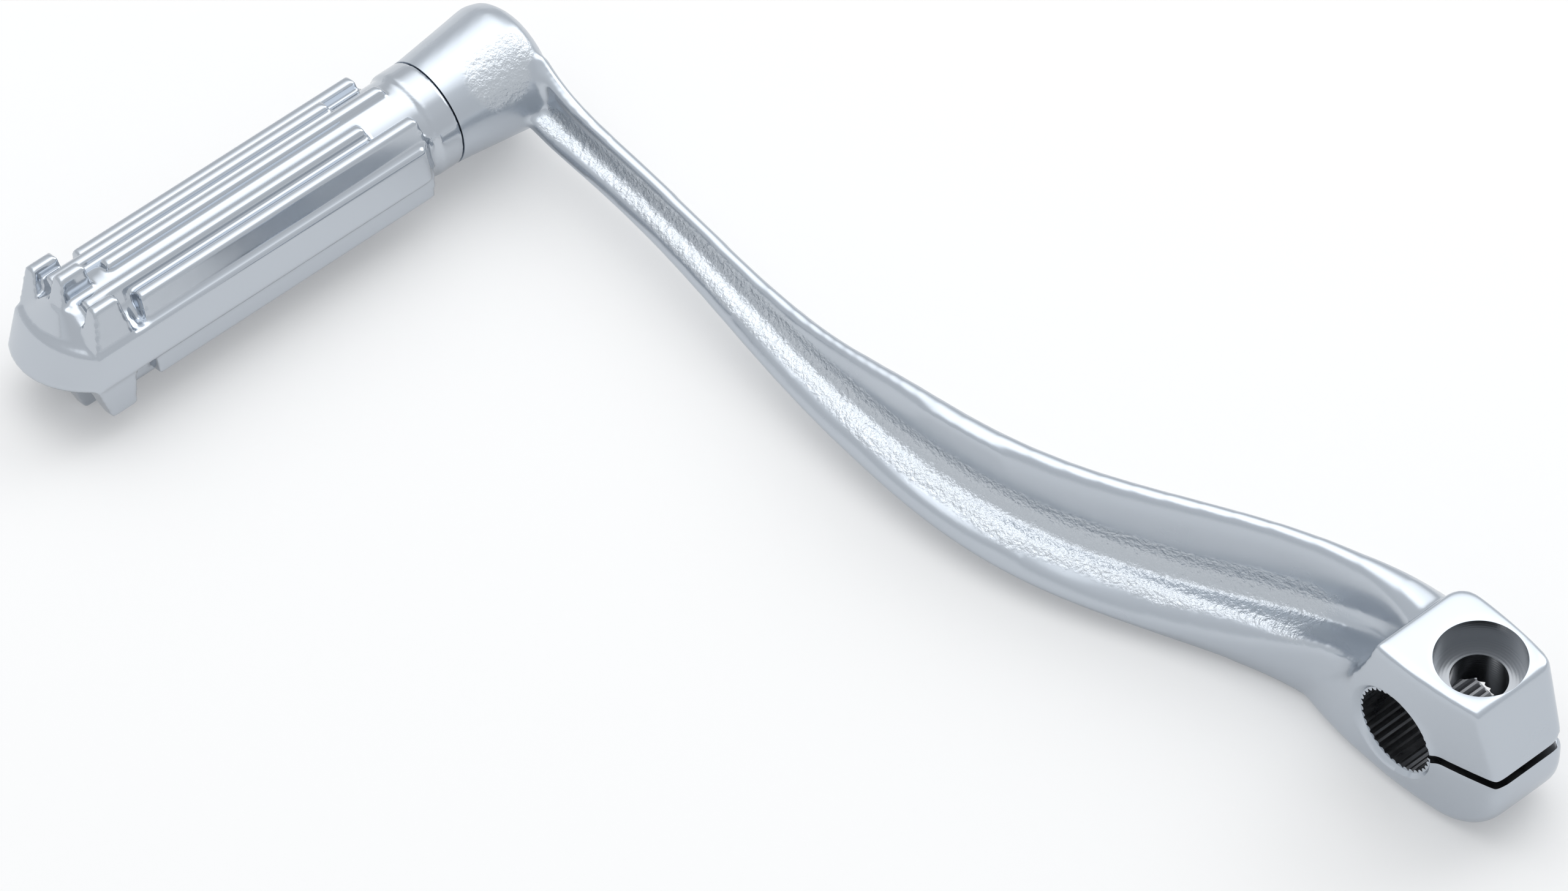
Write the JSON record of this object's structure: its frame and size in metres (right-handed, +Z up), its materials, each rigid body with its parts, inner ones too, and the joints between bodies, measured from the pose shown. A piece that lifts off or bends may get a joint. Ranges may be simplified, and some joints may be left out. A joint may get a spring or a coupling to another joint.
{
  "type": "motorcycle gear-shift lever",
  "caption": "Chromed gear-shift lever: a curved cast arm with a splined pinch clamp at one end and a ribbed toe peg screwed to a round boss at the other.",
  "frame": {"origin": "on the axis of the splined bore, halfway through the clamp", "axes": "+X towards the nose of the clamp, -Y towards the outer side where the peg points, +Z up as the lever lies on a table"},
  "size_m": [0.2265, 0.134, 0.0302],
  "materials": {
    "arm_chrome": "chrome plate over a cast arm, polished on the outside and left rough in the channel",
    "peg_chrome": "chrome plate",
    "screw_steel": "zinc plate",
    "washer_steel": "zinc plate"
  },
  "bodies": {
    "root": {"shift_arm": "arm_chrome", "toe_peg": "peg_chrome", "peg_screw": "screw_steel", "lock_washer": "washer_steel"}
  },
  "joints": []
}
